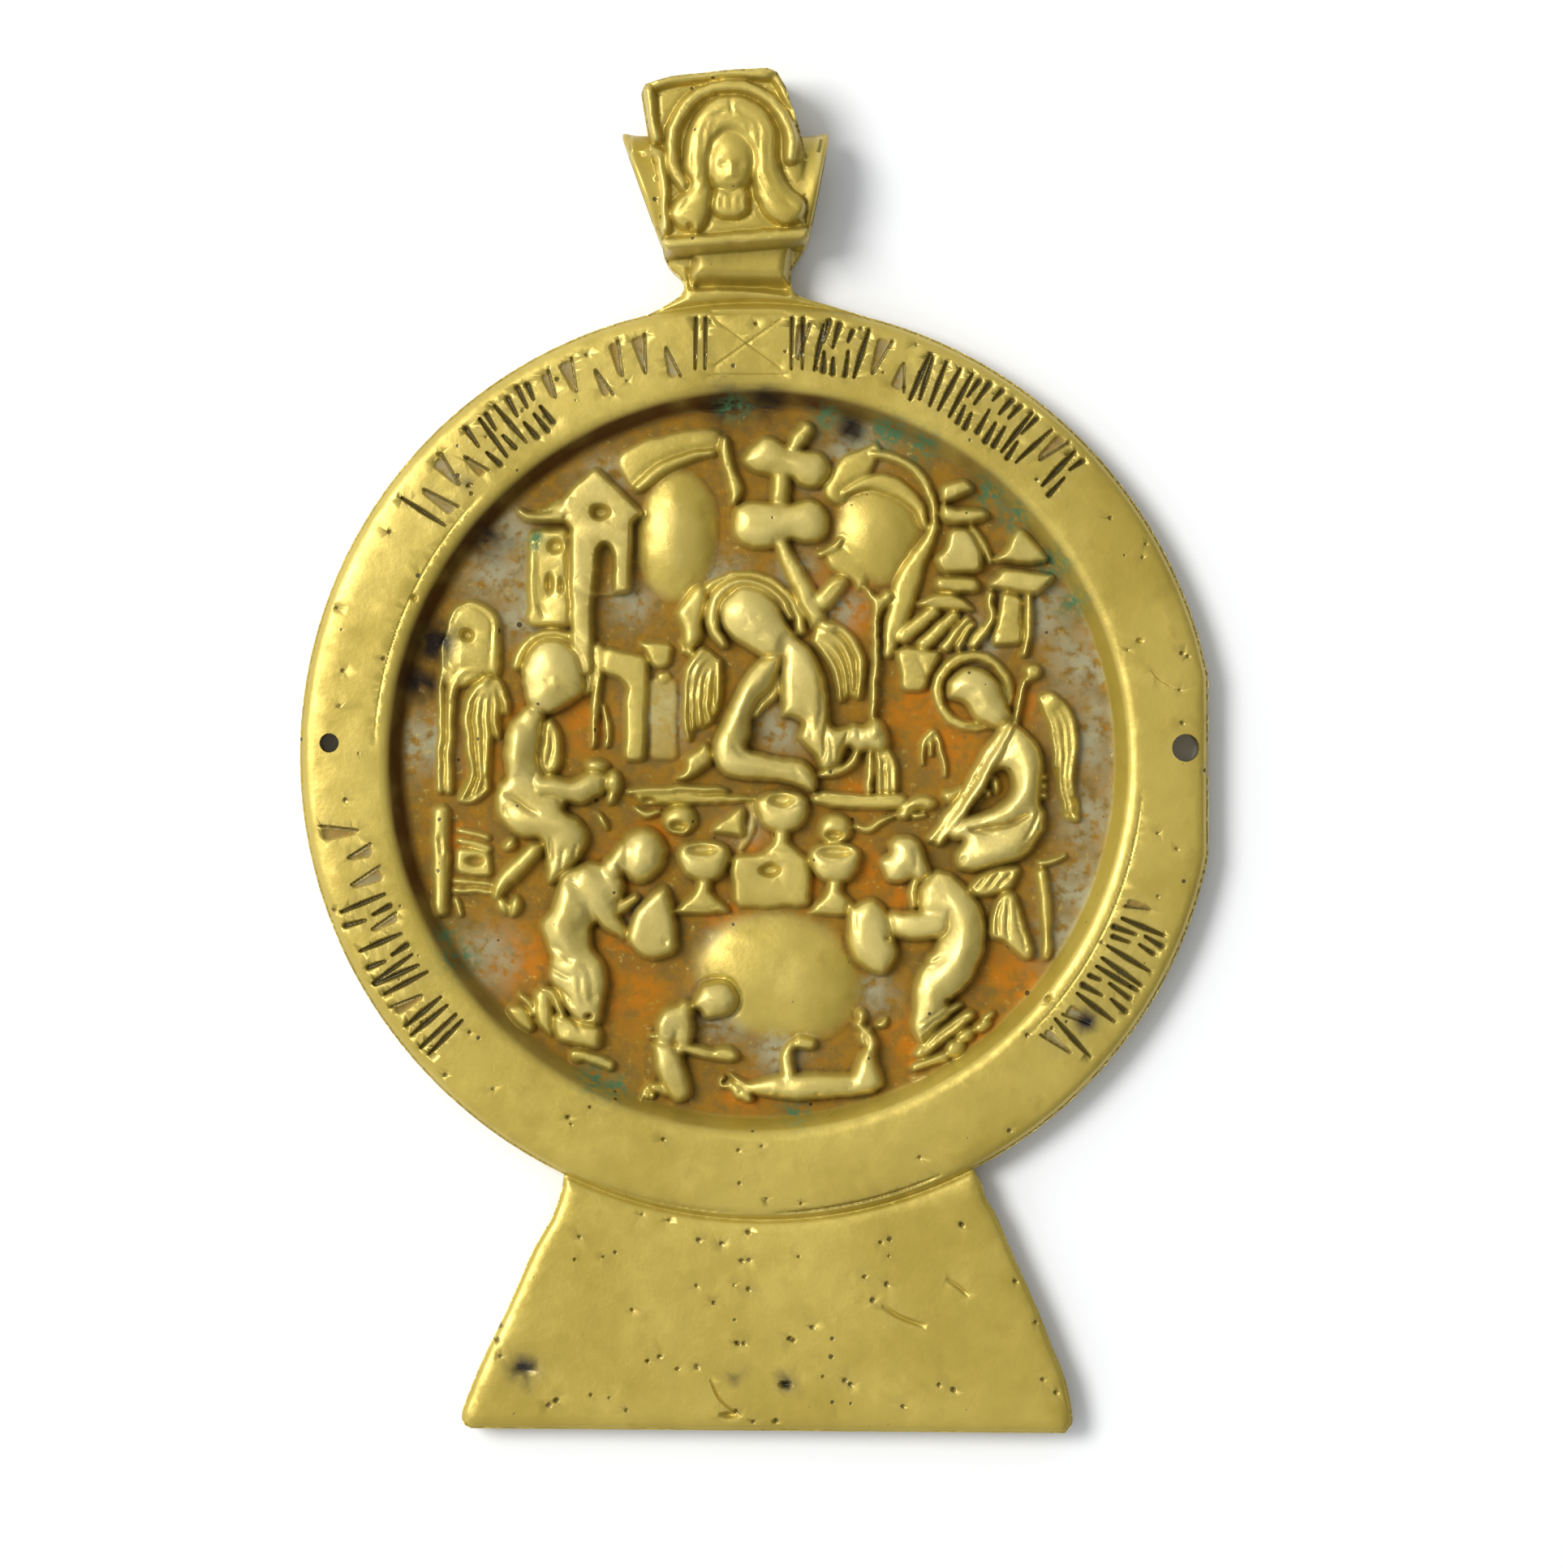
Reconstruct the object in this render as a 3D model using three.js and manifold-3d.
// A cast icon medallion in brass-coloured copper alloy: a round rim with a sunken field of figures at a
// table, a trapezoid foot below it and a pierced hanger head above it, all one casting.
import * as THREE from 'three';
import { mergeVertices } from 'three/addons/utils/BufferGeometryUtils.js';
import Module from 'manifold-3d';

const wasm = await Module();
wasm.setup();

// Driving dimensions in millimetres. The flat back lies on z = 0 and the relief faces +z. While the piece
// is drawn, x and y start at the middle of the field, with y towards the hanger.
const RIM_CENTRE = [0.18, -0.4];
const RIM_RADIUS = 37.74;
const RIM_STRETCH = 0.23; // the rim is this much longer along its falling diagonal
const RIM_FLAT = 37.02; // the worn right edge is flat at this distance from the centre
const RIM_TOP = 4.1;
const RIM_STEPS = 68;
const FIELD_RADIUS = 28.6;
const WALL_TOP_RADIUS = 30.7;
const GROUND = 2;
const ROOT = 1; // relief starts this high, inside the plate

const FOOT_TOP = 3.4;
const FOOT_HALF_TOP = 17.4;
const FOOT_HALF_BOTTOM = 25.1;
const FOOT_MIDDLE = 1;
const FOOT_BOTTOM = -55.7;

const HEAD_FIELD = 7;
const HEAD_TOP = 8.1;
const NECK_TOP = 5;
const NECK_FILLET = 3.5; // the neck's root, where it widens into the rim
const CHANNEL = { y: 46.6, z: 3.6, height: 5.8, depth: 4.8, corner: 0.5 };

// Heights that the figures reach.
const LOW = 2.7;
const MIDDLE = 3.2;
const HIGH = 3.7;
const PEAK = 4.3;

const brass = new THREE.MeshStandardMaterial({ color: 0xb9a65a, roughness: 0.42, metalness: 1 });

// Turn a closed geometry into a solid: only positions count, doubled corners become one.
function solid(geometry) {
  const corners = new THREE.BufferGeometry();
  const loose = geometry.index ? geometry.toNonIndexed() : geometry;
  corners.setAttribute('position', loose.getAttribute('position'));
  const merged = mergeVertices(corners, 1e-4);
  const index = merged.index.array;
  const at = (corner) => new THREE.Vector3().fromBufferAttribute(merged.attributes.position, corner);
  const triangles = [];
  let volume = 0;
  for (let i = 0; i < index.length; i += 3) {
    const [a, b, c] = index.slice(i, i + 3);
    if (a === b || b === c || c === a) continue;
    triangles.push([a, b, c]);
    volume += at(a).dot(at(b).cross(at(c)));
  }
  const outward = volume < 0 ? triangles.map((corner) => corner.reverse()) : triangles;
  return new wasm.Manifold(new wasm.Mesh({
    numProp: 3,
    vertProperties: new Float32Array(merged.attributes.position.array),
    triVerts: new Uint32Array(outward.flat()),
  }));
}

// Join rings of equally many points into a closed skin, with a fan over each end.
function loft(rings) {
  const count = rings[0].length;
  const points = [];
  const put = (...corners) => corners.forEach((corner) => points.push(corner.x, corner.y, corner.z));
  for (let i = 1; i < rings.length; i += 1) {
    for (let k = 0; k < count; k += 1) {
      const next = (k + 1) % count;
      put(rings[i - 1][k], rings[i - 1][next], rings[i][next]);
      put(rings[i - 1][k], rings[i][next], rings[i][k]);
    }
  }
  const last = rings[rings.length - 1];
  for (let k = 1; k < count - 1; k += 1) {
    put(rings[0][0], rings[0][k + 1], rings[0][k]);
    put(last[0], last[k], last[k + 1]);
  }
  const skin = new THREE.BufferGeometry();
  skin.setAttribute('position', new THREE.Float32BufferAttribute(points, 3));
  return solid(skin);
}

// A ridge carried along a path on the ground, flat sided below and rounded above, with round ends.
// It has a half width at each point of the path, and its crest is at the given height. A thin one is a
// plain roof shape with square ends.
const ROUND_SECTION = [[1, 0], [0.72, 1], [-0.72, 1], [-1, 0]];
const ROOF_SECTION = [[1, 0], [0, 1], [-1, 0]];
const THIN = 0.56;
function limb(path, halfWidths, top, floor = GROUND, step = 2.8) {
  const root = floor - (GROUND - ROOT);
  const curve = new THREE.CatmullRomCurve3(path.map(([x, y]) => new THREE.Vector3(x, y, 0)));
  const steps = Math.max(path.length - 1, Math.ceil(curve.getLength() / step));
  const widths = Array.isArray(halfWidths) ? halfWidths : [halfWidths, halfWidths];
  const thin = Math.max(...widths) < THIN;
  const profile = thin ? ROOF_SECTION : ROUND_SECTION;
  const widthAt = (t) => {
    const place = t * (widths.length - 1);
    const first = Math.min(Math.floor(place), widths.length - 2);
    return THREE.MathUtils.lerp(widths[first], widths[first + 1], place - first);
  };
  const ring = (middle, along, width, rise) => {
    const across = new THREE.Vector3(-along.y, along.x, 0).multiplyScalar(width);
    const section = [[1, root - floor], ...profile.map(([u, v]) => [u, v * rise]), [-1, root - floor]];
    return section.map(([u, v]) => middle.clone().addScaledVector(across, u).setZ(floor + v));
  };
  const rings = [];
  for (let i = 0; i <= steps; i += 1) {
    const t = i / steps;
    const middle = curve.getPoint(t);
    const along = curve.getTangent(t);
    const width = widthAt(t);
    const rise = top - floor;
    const tip = (way) => {
      const end = middle.clone().addScaledVector(along, way * 0.75 * width);
      return ring(end, along, width / 2, rise / 2);
    };
    if (i === 0 && !thin) rings.push(tip(-1));
    rings.push(ring(middle, along, width, rise));
    if (i === steps && !thin) rings.push(tip(1));
  }
  return loft(rings);
}

// An egg half sunk in the ground, turned by an angle in degrees.
const UP = new THREE.Vector3(0, 0, 1);
function dome(x, y, halfLength, halfWidth, top, turn = 0, floor = GROUND, sides = 12) {
  const root = floor - (GROUND - ROOT);
  const levels = [[1, root - floor], [1, 0], [0.84, 0.6], [0.4, 1]];
  const angle = THREE.MathUtils.degToRad(turn);
  return loft(levels.map(([size, height]) => Array.from({ length: sides }, (_, k) => {
    const around = (2 * Math.PI * k) / sides;
    const z = height < 0 ? root : floor + height * (top - floor);
    const reach = [Math.cos(around) * halfLength * size, Math.sin(around) * halfWidth * size];
    const turned = new THREE.Vector3(...reach, z).applyAxisAngle(UP, angle);
    return turned.add(new THREE.Vector3(x, y, 0));
  })));
}

// A flat patch cut to an outline, its upper edge bevelled.
function patch(outline, top, bevel = 0.25, root = ROOT) {
  const shape = new THREE.Shape(outline.map(([x, y]) => new THREE.Vector2(x, y)));
  const slab = new THREE.ExtrudeGeometry(shape, {
    depth: top - root - 2 * bevel,
    bevelThickness: bevel,
    bevelSize: bevel,
    bevelOffset: -bevel,
    bevelSegments: 1,
    curveSegments: 6,
  });
  slab.translate(0, 0, root + bevel);
  return solid(slab);
}

// A straight wall-sided hole or block over an oval.
function plug(x, y, halfWidth, halfHeight, from, to, sides = 8) {
  const ring = (z) => Array.from({ length: sides }, (_, k) => {
    const around = (2 * Math.PI * (k + 0.5)) / sides;
    return new THREE.Vector3(x + halfWidth * Math.cos(around), y + halfHeight * Math.sin(around), z);
  });
  return loft([ring(from), ring(to)]);
}

// A V groove from one point to another, this deep below a surface.
function groove([x0, y0], [x1, y1], surface, halfWidth = 0.2, depth = 0.45) {
  const start = new THREE.Vector2(x0, y0);
  const end = new THREE.Vector2(x1, y1);
  const across = end.clone().sub(start).normalize().rotateAround(new THREE.Vector2(), Math.PI / 2);
  const ring = (point) => [[-2, depth], [2, depth], [0, -depth]].map(([side, up]) => {
    const spot = point.clone().addScaledVector(across, side * halfWidth);
    return new THREE.Vector3(spot.x, spot.y, surface + up);
  });
  return loft([ring(start), ring(end)]);
}

const polar = (x, y, radius, degrees) => {
  const angle = THREE.MathUtils.degToRad(degrees);
  return [x + radius * Math.cos(angle), y + radius * Math.sin(angle)];
};
const arc = (x, y, radius, from, to, steps) => Array.from({ length: steps + 1 },
  (_, i) => polar(x, y, radius, from + ((to - from) * i) / steps));
const halo = (x, y, radius, from, to, top, halfWidth = 0.5) => (
  limb(arc(x, y, radius, from, to, 6), halfWidth, top));
const joined = (solids) => solids.reduce((all, next) => all.add(next));

// The rim and the plate behind the field, turned as one profile and then drawn out of round.
function rimRadius(angle) {
  const drawn = RIM_RADIUS - RIM_STRETCH * Math.sin(2 * angle);
  const facing = Math.cos(angle);
  return facing > 0 ? Math.min(drawn, RIM_FLAT / facing) : drawn;
}

function rimAndPlate() {
  const profile = [
    [0, 0], [RIM_RADIUS - 0.4, 0], [RIM_RADIUS, 0.5], [RIM_RADIUS - 0.1, 2.8], [RIM_RADIUS - 0.7, 3.5],
    [RIM_RADIUS - 2.8, 4], [WALL_TOP_RADIUS + 0.8, RIM_TOP], [WALL_TOP_RADIUS, RIM_TOP - 0.2],
    [FIELD_RADIUS + 0.8, GROUND + 0.5], [FIELD_RADIUS, GROUND], [0, GROUND],
  ];
  const turned = new THREE.LatheGeometry(profile.map(([r, z]) => new THREE.Vector2(r, z)), RIM_STEPS);
  turned.rotateX(Math.PI / 2);
  const place = turned.getAttribute('position');
  for (let i = 0; i < place.count; i += 1) {
    const [x, y] = [place.getX(i), place.getY(i)];
    const radius = Math.hypot(x, y);
    const share = Math.max(0, (radius - WALL_TOP_RADIUS) / (RIM_RADIUS - WALL_TOP_RADIUS));
    const drawn = radius + share * (rimRadius(Math.atan2(y, x)) - RIM_RADIUS);
    const scale = radius > 0 ? drawn / radius : 1;
    place.setXY(i, x * scale, y * scale);
  }
  turned.translate(RIM_CENTRE[0], RIM_CENTRE[1], 0);
  return solid(turned);
}

function foot() {
  const corner = 1.1;
  const [left, right] = [FOOT_MIDDLE - FOOT_HALF_BOTTOM, FOOT_MIDDLE + FOOT_HALF_BOTTOM];
  const underRim = arc(...RIM_CENTRE, RIM_RADIUS - 2.6, -117, -59, 10);
  return patch([
    ...underRim,
    [FOOT_MIDDLE + FOOT_HALF_TOP + 0.5, -36.6],
    [right - 0.6, -51.5], [right, -54.6], [right - corner, FOOT_BOTTOM - 0.2],
    [left + corner, FOOT_BOTTOM + 0.5], [left - 0.1, -54.2], [left + 1, -51.2],
    [FOOT_MIDDLE - FOOT_HALF_TOP + 0.1, -36.9],
  ], FOOT_TOP, 0.45, 0);
}

// The crossed box cut into the top of the rim, between two upright lines on each side.
function crossedBox() {
  const box = { left: -4.2, right: 2.8, low: 31.9, high: 36 };
  return [
    groove([box.left, box.high], [box.right, box.low], RIM_TOP),
    groove([box.left, box.low], [box.right, box.high], RIM_TOP),
    groove([box.left - 0.8, box.low], [box.left - 0.8, box.high], RIM_TOP),
    groove([box.right + 0.6, box.low], [box.right + 0.6, box.high], RIM_TOP),
  ];
}

// Buildings of the upper left: a gabled tower with its gate, a side wall and a round-headed chair back.
function leftBuildings() {
  return {
    raised: [
      patch([[-13.2, 23.9], [-16.6, 20.6], [-16.6, 19.6], [-15.2, 19], [-15.2, 6.8], [-13.5, 7.4],
        [-13.4, 13.3], [-10.3, 13.4], [-10.2, 19.3], [-9.2, 19.9]], HIGH),
      limb([[-16.4, 20.1], [-19.2, 19.9]], [0.6, 0.35], HIGH),
      patch([[-15, 18.9], [-18.9, 18.9], [-18.9, 10.6], [-15, 10.6]], 3.3),
      patch([[-12.3, 8.9], [-9, 8], [-9, -0.5], [-10.8, -0.5], [-10.9, 6.1], [-12.5, 6.6]], MIDDLE),
      limb([[-13.1, 9], [-13.2, 5], [-13.6, 1]], [0.5, 0.25], MIDDLE),
      limb([[-12.6, 5], [-12.3, 1]], 0.25, LOW),
      patch([[-9.7, 9.4], [-6.9, 9.2], [-7.3, 7.1], [-8.7, 7.1]], MIDDLE),
      limb([[-7.6, 6.6], [-7.6, 0.6]], 0.9, 2.3),
      patch([[-25.6, 7], [-25.6, 11], [-24.6, 12.5], [-23.4, 12.9], [-22, 12.4], [-21.1, 10.8],
        [-21.1, 7]], 3.1),
      limb([[-25.8, 7], [-25.9, -2.6]], 0.6, 3),
      limb(arc(-23.9, 5.6, 1.4, 180, 40, 3), 0.3, 3),
    ],
    cut: [
      plug(-12.8, 20.1, 0.8, 0.65, 2.4, PEAK), plug(-12.5, 15.7, 0.95, 1.9, 2.2, PEAK),
      plug(-16.5, 17.3, 0.6, 0.6, 2.5, PEAK, 6), plug(-17, 14.2, 0.35, 0.95, 2.5, PEAK, 6),
      plug(-16, 14.2, 0.25, 0.85, 2.5, PEAK, 6), plug(-23.8, 10, 0.55, 0.6, 2.3, PEAK, 6),
    ],
  };
}

// Buildings of the upper right: stacked roofs, a striped roof and a tower with a gabled top.
function rightBuildings() {
  const stripes = [[[14, 11.5], [12.2, 9.8]], [[15.9, 11.4], [13.9, 9.6]], [[17.4, 11.1], [15.8, 9.4]]];
  return [
    patch([[15.2, 22.3], [17, 23], [18.2, 21.9], [16, 20.9], [15.2, 21]], HIGH),
    patch([[15.2, 21.2], [16, 20.5], [19, 20.4], [19.2, 19.4], [16, 19], [15.2, 19.6]], HIGH),
    patch([[16, 18.7], [17.8, 18.8], [18.7, 16.5], [18.5, 15.1], [15, 15], [14.5, 16.6], [15.6, 17]], HIGH),
    patch([[14.7, 14.9], [18.5, 14.6], [18.4, 13.6], [14.6, 13.5]], MIDDLE),
    patch([[13, 12.3], [15, 13.5], [18.2, 11.9]], HIGH, 0.15),
    limb([[18.3, 18.4], [19.2, 16.4]], 0.35, MIDDLE),
    ...stripes.map((stripe) => limb(stripe, 0.55, MIDDLE)),
    patch([[11.3, 8.4], [12.2, 9], [15.2, 8.3], [14.4, 7], [14, 5.3], [12, 5.2], [11.7, 7]], MIDDLE),
    patch([[19.6, 16], [20.9, 17.6], [21.6, 18.9], [23.9, 16.7], [22, 15.9]], HIGH),
    patch([[19.1, 14], [20.3, 15.4], [22, 15.4], [24.3, 14.9], [23, 13.4], [19.5, 13.7]], HIGH),
    patch([[19.7, 13.5], [21.9, 13.2], [21.8, 9.3], [19.5, 9.1], [20.1, 11.2]], MIDDLE),
    limb([[19.3, 13.1], [19.6, 11.6], [18.1, 9.4]], 0.3, MIDDLE),
    limb([[22.5, 12.9], [22.2, 9]], 0.3, MIDDLE),
  ];
}

// Hills, caves and the tree between the buildings.
function landscape() {
  return [
    dome(-6.6, 18, 3, 5, 3.5),
    limb([[-10.6, 23.6], [-8.5, 25.1], [-5.5, 25.7], [-3.8, 25.4]], [1.3, 0.8], 3.2),
    limb([[-2.4, 25.4], [-2.3, 23.4], [-1.6, 21.8]], [0.35, 0.7], 3.3),
    limb([[-0.2, 24.9], [2.2, 24.9], [4.9, 23.6]], [0.9, 1.4, 1.3], HIGH),
    limb([[3, 25.6], [4.2, 27]], [0.9, 0.6], HIGH),
    limb([[2, 23.5], [1.8, 21]], 0.8, MIDDLE),
    limb([[-0.7, 19.1], [1.8, 19], [4.5, 19.5]], [1.5, 1.8, 1.6], HIGH),
    limb([[1.9, 17.6], [3, 15], [4.3, 12.6], [5.1, 11.4]], [0.8, 0.8, 1, 0.7], HIGH),
    limb([[5, 12.9], [6.9, 14.3]], [1, 0.6], MIDDLE),
    dome(10.4, 18.3, 3.1, 4, MIDDLE),
    limb([[7.2, 21.6], [9.8, 24.2], [13.2, 22.8], [14.5, 19.2]], [0.9, 0.9, 0.7], 3.3),
    limb([[14.3, 18.6], [12.8, 15], [11.6, 11.3], [10.9, 8.5]], [0.6, 1.2, 0.8, 0.5], 3.2),
    dome(2.1, -18, 6.1, 5, 3.3),
  ];
}

// The seated angel on the left with wing, stool and footstool.
function leftAngel() {
  return [
    halo(-16.7, 7, 3, -30, 170, 3),
    dome(-16.6, 6.6, 2.3, 2.9, PEAK, -12),
    limb([[-18.3, 4], [-19.4, 1.2], [-19, -1.6], [-18.6, -3.8]], [1, 1.7, 2, 2.2], 3.9),
    limb([[-16.8, 2.4], [-16.4, 0.6], [-16.9, -1.2]], [0.4, 0.7, 0.4], 3.1),
    limb([[-18.2, -2.6], [-15, -2.4], [-12.9, -2]], [1.2, 1.1, 0.9], 3.8),
    dome(-13, -0.6, 1, 0.7, 3.3), dome(-11.6, -2.6, 0.8, 1.2, 3.3, 15),
    limb([[-19.8, -4.4], [-16.6, -5.3]], [1.8, 1.8], 3.6),
    limb([[-15.6, -5.8], [-15.6, -9.2]], [1.7, 1.1], 3.5),
    limb([[-18.7, -7.8], [-20.8, -11]], [0.9, 0.8], 3.3),
    dome(-19.9, -12.3, 0.6, 1, 3, -20),
    limb([[-22.2, 6.1], [-23.5, 4], [-23.4, 0], [-23.9, -3.2]], [0.5, 0.55, 0.4, 0.25], 3.1),
    limb([[-21.9, 6], [-22.5, 3.6], [-22.3, 0.6], [-22.7, -2.9]], [0.5, 0.5, 0.4, 0.25], 3.1),
    limb([[-21.5, 6], [-21, 4], [-21.3, 1.7]], [0.5, 0.5, 0.2], 3),
    limb([[-26, -4.6], [-26.1, -8.2], [-25.9, -11.4]], 0.75, 3.1),
    limb([[-24.4, -6.3], [-22.3, -6.9]], 0.3, 2.6),
    patch([[-24.7, -7.3], [-22, -7.6], [-21.9, -9.7], [-24.7, -9.6]], 2.8, 0.2),
    limb([[-24.4, -10.5], [-22.3, -10.6]], 0.3, 2.6),
  ];
}

// The middle angel, half length behind the table, with both wings and a staff.
function middleAngel() {
  return [
    halo(-1.1, 10.1, 4.5, -12, 205, 3.1, 0.55),
    dome(-0.6, 11.2, 3.5, 3, 3.7, 110),
    dome(-0.6, 11, 2.5, 2.2, PEAK, 120),
    limb([[0.4, 8.2], [-1.2, 5.6], [-2.5, 2.6], [-2.7, 0.6]], [1.1, 1.2, 1.2, 1.1], PEAK),
    limb([[-2.6, 0.4], [0.2, -0.8], [3.4, -0.9], [4.4, -2.1]], [1.1, 1.1, 1, 0.6], 4.1),
    patch([[2.5, 9.1], [3.7, 9.4], [5.2, 7.5], [5.9, 4.8], [6, 2.8], [5.4, -0.4], [3.5, 2.2], [3.6, 2.8],
      [2.1, 3.1], [2.2, 7]], HIGH),
    limb([[1.2, 7.6], [0.9, 5.6], [0.2, 4]], [0.8, 0.6, 0.3], 3.3),
    limb([[6.1, 2], [6.4, -0.4]], [0.9, 0.8], 3.3),
    limb([[7.6, 1.6], [10.1, 1.8]], [0.8, 1.2], 3.9),
    limb([[5.3, -1.6], [7.3, -1.1], [8.3, 0.1]], 0.4, 3),
    limb([[-4.5, 8.5], [-5.7, 5.6], [-5.8, 1.8]], [0.4, 0.5, 0.25], 3.1),
    limb([[-4, 8.2], [-4.9, 5.8], [-4.9, 3]], [0.4, 0.4, 0.25], 3.1),
    limb([[-3.5, 7.9], [-4.1, 5.8], [-3.9, 2.9]], [0.4, 0.4, 0.25], 3),
    limb([[5.2, 10.5], [7.9, 9.4], [8.4, 5]], [0.5, 0.6, 0.3], 3.1),
    limb([[5, 9.9], [7, 8.4], [7.3, 5.2]], [0.5, 0.5, 0.25], 3.1),
    limb([[9.9, 13.4], [9.8, 8], [9.6, 3.7]], 0.32, MIDDLE),
    limb([[9, 13.4], [9.9, 12.4], [11, 13.2]], 0.5, MIDDLE),
    limb([[9.5, -0.1], [9.3, -2.4]], 0.3, 2.8), limb([[10.1, -0.4], [10.3, -2.5]], 0.3, 2.8),
    limb([[10.7, -0.1], [11.3, -2.5]], 0.3, 2.8),
    patch([[-4.2, 1.1], [-5.8, 0], [-5.6, -1.2], [-6.8, -1.9], [-5.3, -2], [-3.7, -0.7]], 3.1, 0.2),
  ];
}

// The angel on the right, leaning towards the table over a slanting staff.
function rightAngel() {
  return [
    halo(17.9, 5.4, 2.95, 5, 245, 3, 0.5),
    dome(18.2, 4.9, 2.4, 2.1, PEAK, 60),
    dome(20, 3.2, 0.9, 0.7, 3.4, -40),
    patch([[22.1, 7.6], [23.5, 7.6], [23.6, 6.5], [22.2, 5.9]], 3.1, 0.2),
    limb([[22.2, 6], [21.6, 4.4], [21.3, 2.8]], 0.2, 3),
    limb([[20.9, 1.4], [22.2, -0.8], [21.9, -3.6], [19.4, -5]], [1.1, 1.5, 1.5, 1], PEAK),
    limb([[21.4, -3.4], [18.8, -4.7], [16, -6]], [1, 0.8, 0.7], 4),
    limb([[20.2, 1.3], [18.6, -2], [16.4, -5.8]], [0.5, 0.5, 0.4], 4.1),
    limb([[18.4, -0.6], [16.6, -3.4], [14.8, -6]], [0.6, 0.6, 0.7], 3.6),
    dome(19.6, -2.6, 0.6, 0.5, 3.2),
    limb([[17.6, -8.2], [20.4, -7.4], [22.4, -5.6]], [1.4, 1.5, 1.2], 4),
    limb([[23.6, -1.7], [23.6, -3.3]], 0.4, 3.3),
    limb([[14.2, 1.8], [13.7, 1], [13.6, -0.3]], 0.25, 2.8),
    limb([[14.5, 1.8], [15.2, 0.8], [15.4, -0.6]], 0.3, 2.8),
    limb([[12, -4.5], [13.3, -3.8], [14.4, -4.1]], [0.5, 0.75, 0.5], 3.3),
    limb([[24.2, 4.8], [25.8, 2.6], [26, -0.8], [26.3, -4.8]], [0.5, 0.5, 0.4, 0.4], 3.1),
    limb([[23.8, 4.4], [24.8, 2], [24.9, -0.8], [25.4, -4]], [0.4, 0.4, 0.35, 0.3], 3),
    limb([[20.2, -9.3], [18.2, -10.9]], 0.5, 3.1),
    patch([[19.9, -9.7], [21.8, -9.2], [21.2, -11], [19, -11.7]], MIDDLE, 0.2),
    limb([[20.2, -11.6], [19.6, -14.4]], 0.4, 3),
    patch([[20.6, -11.2], [21.5, -11.1], [22.7, -15], [22.5, -16.6], [20.5, -15]], MIDDLE, 0.2),
    limb([[23.6, -9.4], [23.8, -15.8]], 0.5, 3),
    limb([[23.4, -8.7], [25.2, -8.2]], 0.3, 2.8),
  ];
}

// The table with its cups, loaves and the block below it.
function cup(x, y, width) {
  const half = width / 2;
  return [
    dome(x, y, half, half * 0.8, 3.8),
    limb([[x, y - half * 0.6], [x, y - half * 1.5]], half * 0.36, MIDDLE),
    patch([[x - half * 0.35, y - half * 1.1], [x + half * 0.35, y - half * 1.1],
      [x + half * 0.9, y - half * 2], [x - half * 0.95, y - half * 2]], MIDDLE, 0.2),
  ];
}

function table() {
  return {
    raised: [
      patch([[-10.7, -2.5], [-2.3, -2.7], [0.4, -3.3], [0.4, -3.6], [-5.8, -3.9], [-9.6, -3.9],
        [-10.6, -3.1]], MIDDLE, 0.15),
      limb([[5.2, -3.7], [8.4, -3.9], [11.4, -3.9]], [0.4, 0.6, 0.5], 3.4),
      limb(arc(-9, -3.4, 1.3, 225, 310, 3), 0.3, 2.8),
      dome(-6.3, -5.2, 1.45, 1.35, 3.4), dome(6.5, -5.9, 1.5, 1.35, 3.4),
      patch([[-3.9, -6.1], [-1.1, -4.1], [-1, -6.8]], MIDDLE, 0.15),
      limb([[8.5, -5.8], [9.8, -5.6], [11.2, -5]], [0.3, 0.4, 0.15], 3),
      ...cup(2.1, -4.5, 4.3), ...cup(-4.4, -8.5, 4.2), ...cup(6.5, -8.8, 4.1),
      patch([[-2, -8.2], [4.1, -8.1], [4.4, -12.4], [-1.9, -12.4]], MIDDLE, 0.35),
    ],
    cut: [
      plug(-6.3, -5.8, 0.8, 0.35, 2.6, PEAK, 6), plug(6.4, -6.5, 0.8, 0.35, 2.6, PEAK, 6),
      plug(1.1, -9.4, 0.9, 0.55, 2.4, PEAK, 6), plug(6.7, -7.9, 1.4, 0.6, 3, PEAK, 8),
    ],
  };
}

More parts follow.
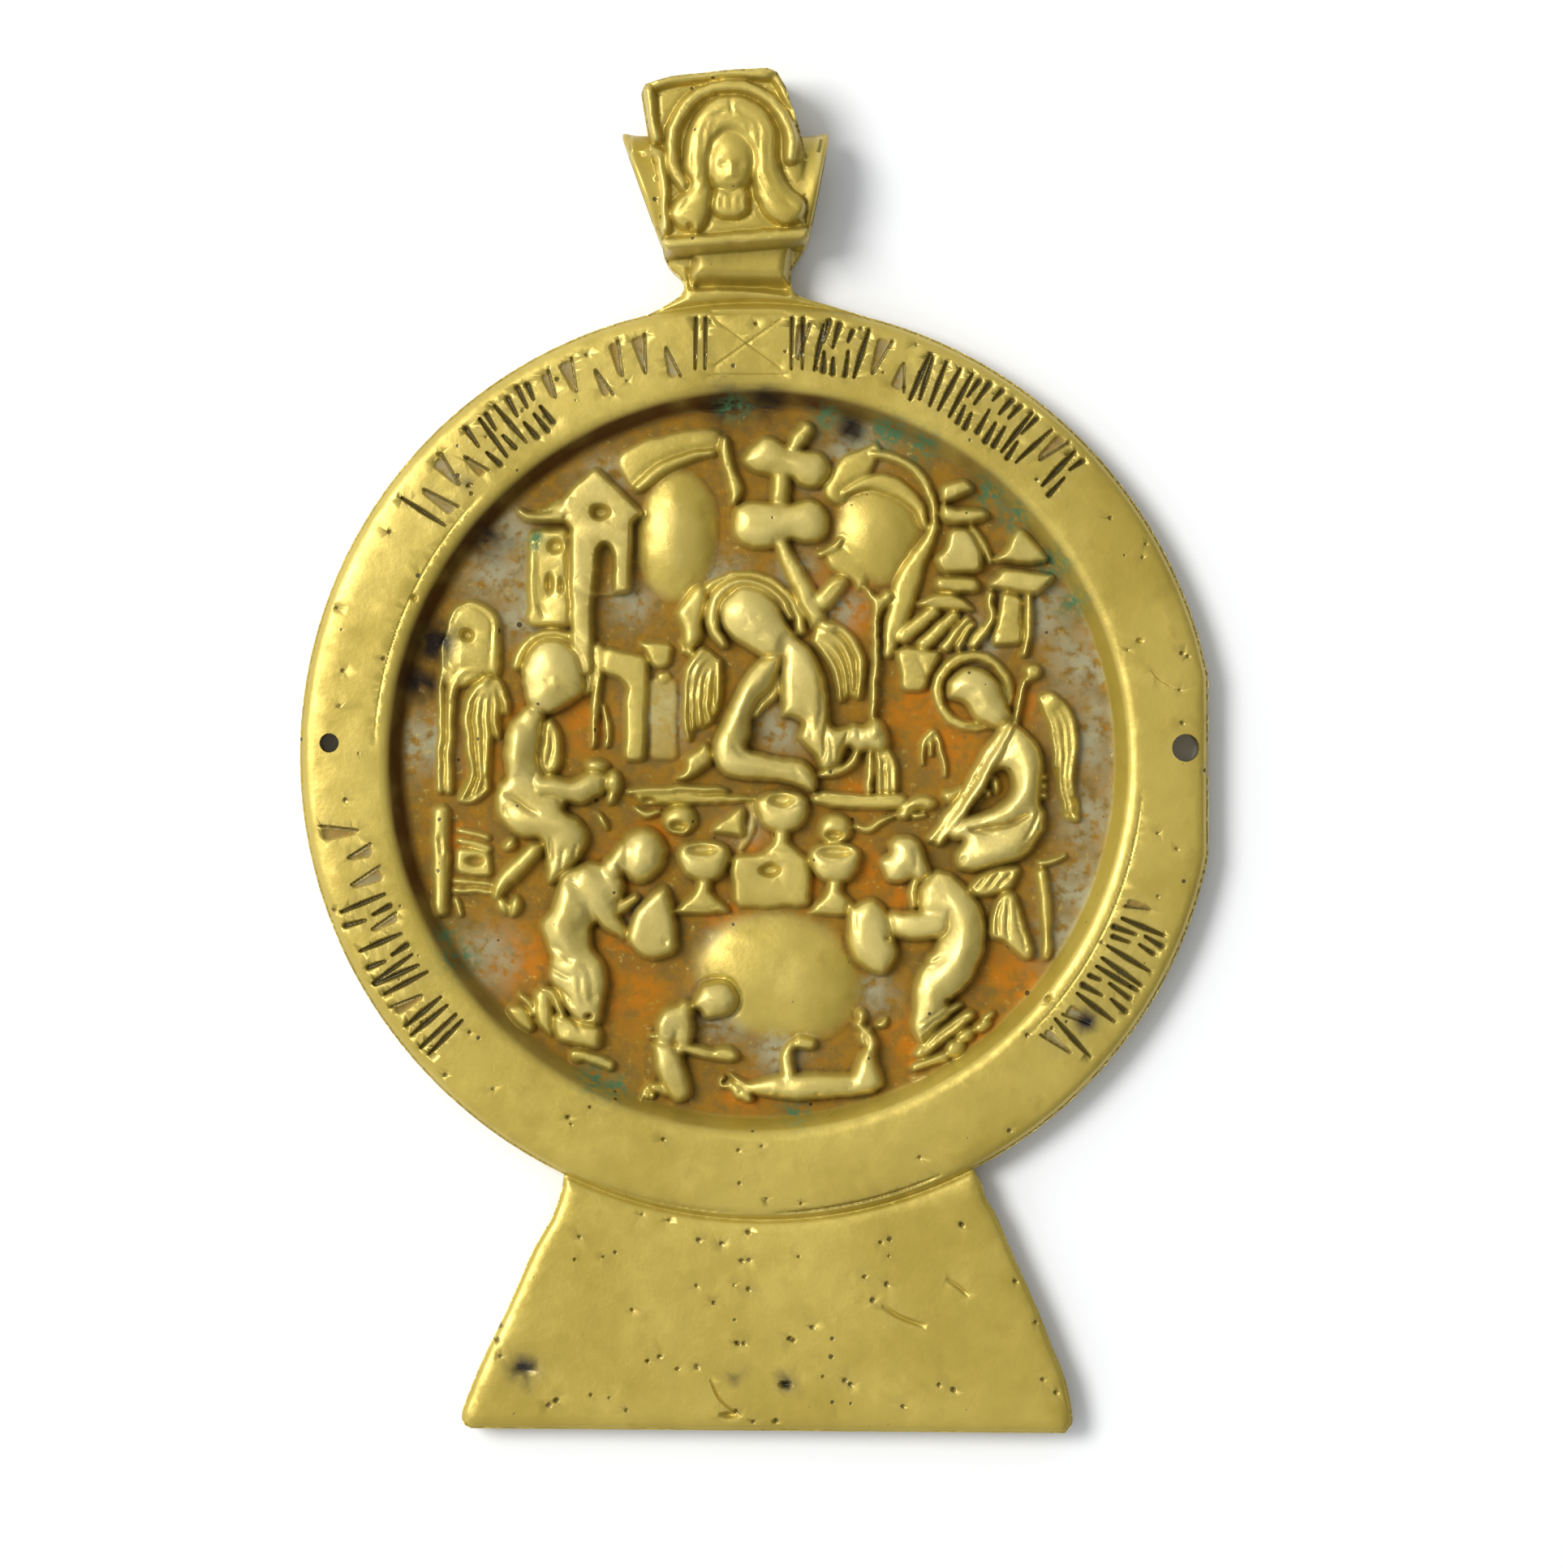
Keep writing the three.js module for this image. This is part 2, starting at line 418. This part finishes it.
// The two hosts bringing food from the sides.
function hosts() {
  const toes = [
    [14.6, -25, 1.1, 0.35], [16.7, -23.9, 0.7, 0.6], [17.5, -22.7, 0.7, 0.5], [18.8, -21.8, 0.9, 0.6],
  ];
  return [
    dome(-9.3, -8, 2.4, 1.9, PEAK, 75),
    limb([[-12.9, -9.8], [-14.6, -12.2], [-14.9, -16], [-14.5, -19.4], [-14.6, -21]],
      [1.6, 2.2, 2.2, 2.2, 1.9], PEAK),
    limb([[-13, -9.6], [-12.3, -12], [-11.3, -13.4]], [1.3, 1.2, 1], 3.9),
    limb([[-16, -12.6], [-16.2, -15.4]], [1.3, 1], 3.8),
    patch([[-10.6, -14.7], [-9.9, -12.5], [-9, -11.6], [-7.4, -10.8], [-6.9, -11.5], [-6.4, -15.8],
      [-8.6, -16.7], [-10, -15.8]], 4, 0.3),
    limb([[-20, -20.7], [-19, -22]], 0.6, 3), limb([[-18, -19.9], [-17.4, -22.2]], 0.65, 3.1),
    limb([[-16.4, -20.4], [-15.8, -22.6]], 0.6, 3.2),
    limb([[-15.8, -22.4], [-13.9, -22.9]], [0.8, 0.9], 3.4),
    limb([[-14.6, -24.8], [-12.2, -25.3]], 0.5, 3),
    dome(12.2, -8.4, 2, 1.8, PEAK, 100), dome(11.2, -9.4, 1, 0.9, 3.8, 40),
    limb([[15, -10.9], [17, -13], [16.6, -16.6], [15, -19.4], [14.3, -22]], [1.4, 1.9, 2.1, 2, 1.4], PEAK),
    limb([[14.6, -11.2], [14.9, -13.4]], [1.4, 1.3], 3.9),
    limb([[15, -14], [11.4, -14]], [1.3, 1.2], 4),
    dome(9.5, -14.9, 1.9, 3, 4, 8),
    limb([[14, -24], [17.6, -21.1]], 0.6, 3.4),
    ...toes.map(([x, y, long, wide]) => dome(x, y, long, wide, 2.9, 20, GROUND, 8)),
  ];
}

// The kneeling servant and the calf at the foot of the field.
function servantAndCalf() {
  return [
    dome(-3.4, -20.1, 1.8, 1.6, 4.1, -10),
    limb([[-5.4, -20.7], [-6.7, -22.2], [-7.2, -24.6], [-6.8, -26.8]], [0.9, 1.4, 1.4, 1.4], 4),
    limb([[-5.8, -24], [-2, -24.6]], [0.6, 0.65], 3.4),
    limb([[-7.4, -27.5], [-9.2, -27.9]], [0.6, 0.3], 3),
    limb([[0.6, -27.4], [4.6, -27.1], [9.3, -26.7]], [1, 1.2, 1], 4),
    limb([[-0.3, -27.6], [-1.4, -27.9]], [0.7, 0.6], 3.4),
    limb([[-1, -27.5], [-2.7, -26.8]], [0.5, 0.2], 3),
    limb([[2.7, -26.2], [2.6, -24.2], [4.3, -23.7]], [0.7, 0.55, 0.55], 3.4),
    limb([[9, -26], [9.2, -24.3], [9.1, -22.8], [8.6, -21.5]], [1.1, 0.7, 0.5, 0.45], 3.6),
    patch([[9.8, -22], [10.9, -21.5], [10.8, -22.4], [10, -22.6]], 2.8, 0.1),
  ];
}

// The hanger: a pierced block whose flared ends show at both sides, with a haloed head on its front.
function flare(side) {
  const [mouth, lean] = side < 0 ? [-9.4, -0.36] : [5.1, 0.2];
  const stations = [[4.5, 0.93], [1.2, 0.95], [0.3, 1], [0, 0.92]];
  return loft(stations.map(([inward, size]) => Array.from({ length: 12 }, (_, k) => {
    const around = (2 * Math.PI * k) / 12;
    const up = 4.9 * size * Math.cos(around);
    const x = mouth + lean * up - side * inward;
    return new THREE.Vector3(x, CHANNEL.y - 0.3 + up, CHANNEL.z + 3.55 * size * Math.sin(around));
  })));
}

function channel() {
  const { y, z, height, depth, corner } = CHANNEL;
  const [h, d] = [height / 2, depth / 2];
  const section = [
    [h, d - corner], [h - corner, d], [corner - h, d], [-h, d - corner],
    [-h, corner - d], [corner - h, -d], [h - corner, -d], [h, corner - d],
  ];
  return loft([-14, 10].map((x) => section.map(([up, out]) => new THREE.Vector3(x, y + up, z + out))));
}

function hanger() {
  const onHead = (path, widths, top) => limb(path, widths, top, HEAD_FIELD, 2.4);
  const block = [
    [-7.6, 41.1], [4.1, 41.9], [4.3, 46], [3.9, 50], [3.3, 52.2], [2.3, 55.2], [1.6, 56.1], [-0.6, 56.1],
    [-7, 55.3], [-9.1, 54.8], [-9.4, 54.2], [-9, 51.5], [-8.2, 47],
  ];
  const neck = [
    ...arc(...RIM_CENTRE, RIM_RADIUS - 2.4, 103, 76, 4).reverse(),
    [-8.4, 36.4], [-7.2, 37.1], [-6.1, 38], [-6, 39], [-7.6, 41.2],
    [-6, 42], [3, 42.6], [4.1, 42],
    [3.3, 40.8], [2.9, 40], [2.9, 38.7], [3.6, 37.8], [6.3, 37.1], [8.6, 36.2],
  ];
  const locks = [[-2, 52.3], [-4.3, 50.8], [-4.9, 48], [-4.7, 45.6], [-5.7, 44]];
  const solids = [
    patch(block, HEAD_FIELD, 0.3, 0), patch(neck, NECK_FILLET, 0.3, 0),
    patch([[-5.4, 39], [2.9, 38.8], [3.2, 42], [-6, 42]], NECK_TOP, 0.3, 2),
    flare(-1), flare(1),
    onHead(arc(-2, 49.7, 4.9, -6, 221, 9), 0.5, HEAD_TOP),
    onHead([[-8.6, 53.8], [-8.2, 50], [-7.6, 46], [-7.1, 42.3]], 0.35, HEAD_TOP),
    onHead([[-8.5, 54.3], [-4, 55.3], [1.3, 55.6]], 0.45, HEAD_TOP),
    onHead([[1.7, 55], [3, 52.6]], 0.35, 7.7),
    onHead([[-6.9, 41.9], [-2, 42.2], [3.8, 42.6]], 0.55, HEAD_TOP),
    onHead(locks, [1, 1.2, 0.9, 1, 1.2], HEAD_TOP),
    onHead(locks.map(([x, y]) => [-4.1 - x, y]), [1, 1.2, 0.9, 1, 1.3], HEAD_TOP),
    dome(-2.05, 48.2, 1.9, 2.7, HEAD_TOP + 0.1, 0, HEAD_FIELD),
    onHead([[-2.05, 46.4], [-2.05, 44.7]], [1.4, 1.1], 7.9),
  ];
  const slot = groove([-5.4, 38.5], [3, 38.5], NECK_FILLET, 0.45, 0.6);
  return joined(solids).subtract(channel()).subtract(slot);
}

function casting() {
  const [left, board] = [leftBuildings(), table()];
  const relief = [
    ...left.raised, ...rightBuildings(), ...landscape(), ...leftAngel(), ...middleAngel(), ...rightAngel(),
    ...board.raised, ...hosts(), ...servantAndCalf(),
  ];
  const whole = joined([rimAndPlate(), foot(), hanger(), ...relief]);
  const cuts = [...left.cut, ...board.cut, ...crossedBox()];
  for (const [x, y, radius] of [[-35.1, 1.1, 0.8], [35.3, 0.7, 1.15]]) {
    cuts.push(plug(x, y, radius, radius, -1, RIM_TOP + 1));
  }
  return whole.subtract(joined(cuts));
}

// Read the finished solid back as a mesh and put the origin under the middle of its box.
function meshOf(whole, name) {
  const { numProp, vertProperties, triVerts } = whole.getMesh();
  const geometry = new THREE.BufferGeometry();
  const corners = Array.from({ length: vertProperties.length / numProp }, (_, i) => i * numProp);
  const places = corners.flatMap((first) => [...vertProperties.slice(first, first + 3)]);
  geometry.setAttribute('position', new THREE.Float32BufferAttribute(places, 3));
  geometry.setIndex([...triVerts]);
  geometry.computeBoundingBox();
  const middle = geometry.boundingBox.getCenter(new THREE.Vector3());
  geometry.translate(-middle.x, -middle.y, -geometry.boundingBox.min.z);
  geometry.computeVertexNormals();
  const mesh = new THREE.Mesh(geometry, brass);
  mesh.name = name;
  return mesh;
}

const icon = new THREE.Group();
icon.add(meshOf(casting(), 'icon_casting'));

export default icon;
